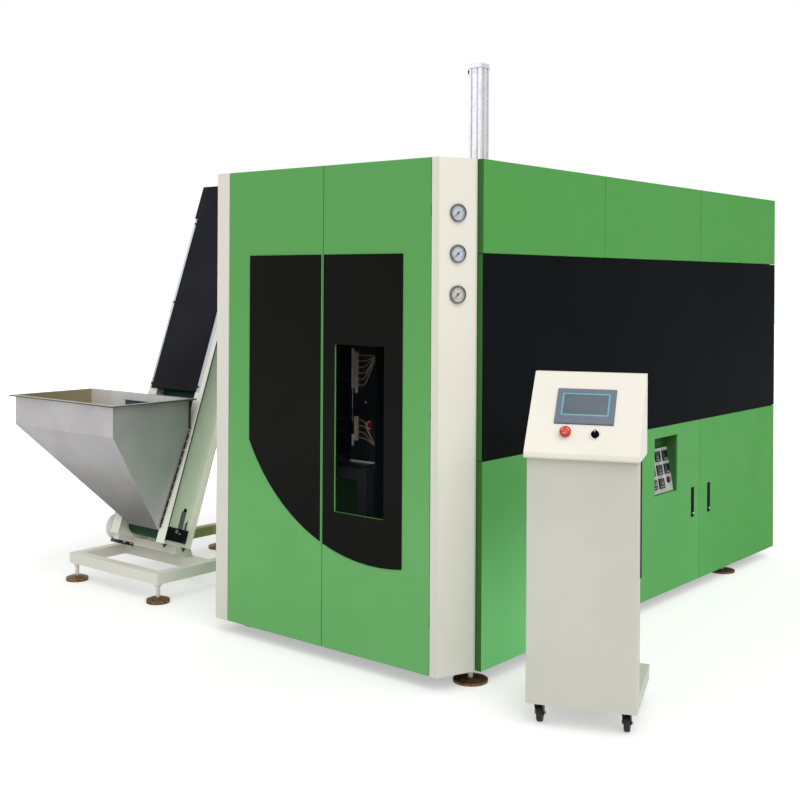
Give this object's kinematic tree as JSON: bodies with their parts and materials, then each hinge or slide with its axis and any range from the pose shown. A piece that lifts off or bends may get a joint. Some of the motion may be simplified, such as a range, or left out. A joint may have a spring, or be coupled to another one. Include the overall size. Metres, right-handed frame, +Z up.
{
  "type": "blow moulding machine",
  "caption": "Boxed stretch blow moulding machine with hinged doors, a clamp and stretch unit, a lamp oven, a preform hopper with elevator, and a control pedestal.",
  "frame": {"origin": "centre of the underside of the cabinet's front left levelling foot, on the floor", "axes": "+Z up, +X right along the cabinet's front, +Y back along the cabinet's side"},
  "size_m": [3.5245, 3.0722, 2.599],
  "materials": {
    "frame_paint": "satin powder coat",
    "bed_steel": "ground",
    "feet_bronze": "bronze lacquer",
    "cream_paint": "satin powder coat",
    "green_paint": "satin powder coat",
    "black_glass": "polished acrylic",
    "clear_pane": "clear",
    "gauge_metal": "polished",
    "needle_black": "matt",
    "machine_steel": "machined",
    "cylinder_aluminium": "anodised",
    "mould_aluminium": "milled",
    "oven_sheet": "brushed",
    "lamp_glass": "quartz",
    "wire_sleeve": "glass fibre sleeve",
    "smoked_cover": "smoked",
    "belt_green": "matt",
    "hopper_steel": "satin",
    "motor_paint": "gloss paint",
    "pedestal_paint": "satin powder coat",
    "panel_plastic": "fine texture",
    "handle_black": "fine texture",
    "button_red": "gloss",
    "caster_steel": "black",
    "caster_tread": "matt"
  },
  "bodies": {
    "machine": {"main_frame": "frame_paint", "machine_bed": "bed_steel", "levelling_feet": "feet_bronze", "front_left_column": "cream_paint", "front_right_column": "cream_paint", "roof_panels": "green_paint", "side_panels": "green_paint", "side_windows": "black_glass", "rear_panels": "green_paint", "gauge_cases": "gauge_metal", "clamp_frame": "machine_steel", "clamp_cylinder": "cylinder_aluminium", "fixed_mould": "mould_aluminium", "stretch_cylinder": "cylinder_aluminium", "oven_body": "oven_sheet", "heating_lamps": "lamp_glass", "lamp_wiring": "wire_sleeve", "loader_frame": "frame_paint", "elevator_side_plates": "frame_paint", "elevator_cover": "smoked_cover", "elevator_belt": "belt_green", "hopper": "hopper_steel", "drive_motor": "motor_paint", "discharge_chute": "hopper_steel", "pedestal_column": "pedestal_paint", "pedestal_head": "pedestal_paint", "pedestal_base": "pedestal_paint", "touch_panel": "panel_plastic"},
    "left_door": {"front_left_door": "green_paint", "front_left_glass": "black_glass"},
    "right_door": {"front_right_door": "green_paint", "front_right_glass": "black_glass", "inspection_pane": "clear_pane"},
    "middle_door": {"side_door_middle": "green_paint", "handle_case_middle": "handle_black", "instrument_panel": "green_paint", "temperature_controllers": "handle_black"},
    "rear_door": {"side_door_rear": "green_paint", "handle_case_rear": "handle_black"},
    "middle_lever": {"handle_lever_middle": "handle_black"},
    "rear_lever": {"handle_lever_rear": "handle_black"},
    "panel_button": {"recess_button": "button_red"},
    "upper_needle": {"gauge_needle_upper": "needle_black"},
    "middle_needle": {"gauge_needle_middle": "needle_black"},
    "lower_needle": {"gauge_needle_lower": "needle_black"},
    "clamp": {"moving_platen": "machine_steel", "moving_mould": "mould_aluminium"},
    "stretch": {"stretch_carriage": "machine_steel"},
    "head_drum": {"head_roller": "machine_steel"},
    "tail_drum": {"tail_roller": "machine_steel"},
    "stop_button": {"estop_button": "button_red"},
    "selector": {"selector_knob": "handle_black"},
    "front_left_fork": {"caster_fork_front_left": "caster_steel"},
    "front_left_wheel": {"caster_wheel_front_left": "caster_tread"},
    "front_right_fork": {"caster_fork_front_right": "caster_steel"},
    "front_right_wheel": {"caster_wheel_front_right": "caster_tread"},
    "rear_left_fork": {"caster_fork_rear_left": "caster_steel"},
    "rear_left_wheel": {"caster_wheel_rear_left": "caster_tread"},
    "rear_right_fork": {"caster_fork_rear_right": "caster_steel"},
    "rear_right_wheel": {"caster_wheel_rear_right": "caster_tread"}
  },
  "joints": [
    {"name": "left_door_hinge", "type": "hinge", "parent": "machine", "child": "left_door", "pos_m": [0.0195, -0.186, 1], "axis": [0, 0, 1], "range_deg": [-100, 0]},
    {"name": "right_door_hinge", "type": "hinge", "parent": "machine", "child": "right_door", "pos_m": [1.1095, -0.186, 1], "axis": [0, 0, 1], "range_deg": [0, 100]},
    {"name": "middle_door_hinge", "type": "hinge", "parent": "machine", "child": "middle_door", "pos_m": [1.232, 0.9005, 0.45], "axis": [0, 0, 1], "range_deg": [-100, 0]},
    {"name": "rear_door_hinge", "type": "hinge", "parent": "machine", "child": "rear_door", "pos_m": [1.232, 2.7815, 0.45], "axis": [0, 0, 1], "range_deg": [0, 100]},
    {"name": "middle_lever_pivot", "type": "hinge", "parent": "middle_door", "child": "middle_lever", "pos_m": [1.239, 1.763, 0.511], "axis": [0, 1, 0], "range_deg": [-35, 0]},
    {"name": "rear_lever_pivot", "type": "hinge", "parent": "rear_door", "child": "rear_lever", "pos_m": [1.239, 1.947, 0.511], "axis": [0, 1, 0], "range_deg": [-35, 0]},
    {"name": "panel_button_travel", "type": "slide", "parent": "middle_door", "child": "panel_button", "axis": [-0.9833, 0, -0.1822], "range_m": [0, 0.004], "stiffness_N_per_m": 300},
    {"name": "upper_needle_spin", "type": "hinge", "parent": "machine", "child": "upper_needle", "pos_m": [1.1865, -0.119, 1.792], "axis": [-0.9363, 0.3511, 0], "range_deg": [0, 265], "stiffness_Nm_per_rad": 0.002},
    {"name": "middle_needle_spin", "type": "hinge", "parent": "machine", "child": "middle_needle", "pos_m": [1.1865, -0.119, 1.6385], "axis": [-0.9363, 0.3511, 0], "range_deg": [0, 265], "stiffness_Nm_per_rad": 0.002},
    {"name": "lower_needle_spin", "type": "hinge", "parent": "machine", "child": "lower_needle", "pos_m": [1.1865, -0.119, 1.485], "axis": [-0.9363, 0.3511, 0], "range_deg": [0, 265], "stiffness_Nm_per_rad": 0.002},
    {"name": "clamp_slide", "type": "slide", "parent": "machine", "child": "clamp", "axis": [1, 0, 0], "range_m": [0, 0.0997]},
    {"name": "stretch_slide", "type": "slide", "parent": "machine", "child": "stretch", "axis": [0, 0, -1], "range_m": [0, 0.23]},
    {"name": "head_drum_spin", "type": "hinge", "parent": "machine", "child": "head_drum", "pos_m": [-0.926, 0.71301, 1.91798], "axis": [1, 0, 0], "continuous": true},
    {"name": "tail_drum_spin", "type": "hinge", "parent": "machine", "child": "tail_drum", "pos_m": [-0.926, 0.14978, 0.28223], "axis": [1, 0, 0], "continuous": true},
    {"name": "stop_button_travel", "type": "slide", "parent": "machine", "child": "stop_button", "axis": [-0.2879, 0.7161, -0.6358], "range_m": [0, 0.004], "stiffness_N_per_m": 500},
    {"name": "selector_turn", "type": "hinge", "parent": "machine", "child": "selector", "pos_m": [1.79597, -0.14484, 1.01298], "axis": [-0.2879, 0.7161, -0.6358], "range_deg": [0, 90]},
    {"name": "front_left_swivel", "type": "hinge", "parent": "machine", "child": "front_left_fork", "pos_m": [1.60933, -0.19533, 0.07], "axis": [0, 0, 1], "continuous": true},
    {"name": "front_left_roll", "type": "hinge", "parent": "front_left_fork", "child": "front_left_wheel", "pos_m": [1.60262, -0.17863, 0.03], "axis": [0.9278, 0.373, 0], "continuous": true},
    {"name": "front_right_swivel", "type": "hinge", "parent": "machine", "child": "front_right_fork", "pos_m": [1.88861, -0.08306, 0.07], "axis": [0, 0, 1], "continuous": true},
    {"name": "front_right_roll", "type": "hinge", "parent": "front_right_fork", "child": "front_right_wheel", "pos_m": [1.88189, -0.06636, 0.03], "axis": [0.9278, 0.373, 0], "continuous": true},
    {"name": "rear_left_swivel", "type": "hinge", "parent": "machine", "child": "rear_left_fork", "pos_m": [1.49258, 0.09508, 0.07], "axis": [0, 0, 1], "continuous": true},
    {"name": "rear_left_roll", "type": "hinge", "parent": "rear_left_fork", "child": "rear_left_wheel", "pos_m": [1.48587, 0.11179, 0.03], "axis": [0.9278, 0.373, 0], "continuous": true},
    {"name": "rear_right_swivel", "type": "hinge", "parent": "machine", "child": "rear_right_fork", "pos_m": [1.77186, 0.20735, 0.07], "axis": [0, 0, 1], "continuous": true},
    {"name": "rear_right_roll", "type": "hinge", "parent": "rear_right_fork", "child": "rear_right_wheel", "pos_m": [1.76515, 0.22406, 0.03], "axis": [0.9278, 0.373, 0], "continuous": true}
  ],
  "couplings": [
    {"joint": "tail_drum_spin", "follows": "head_drum_spin", "ratio": 1}
  ]
}
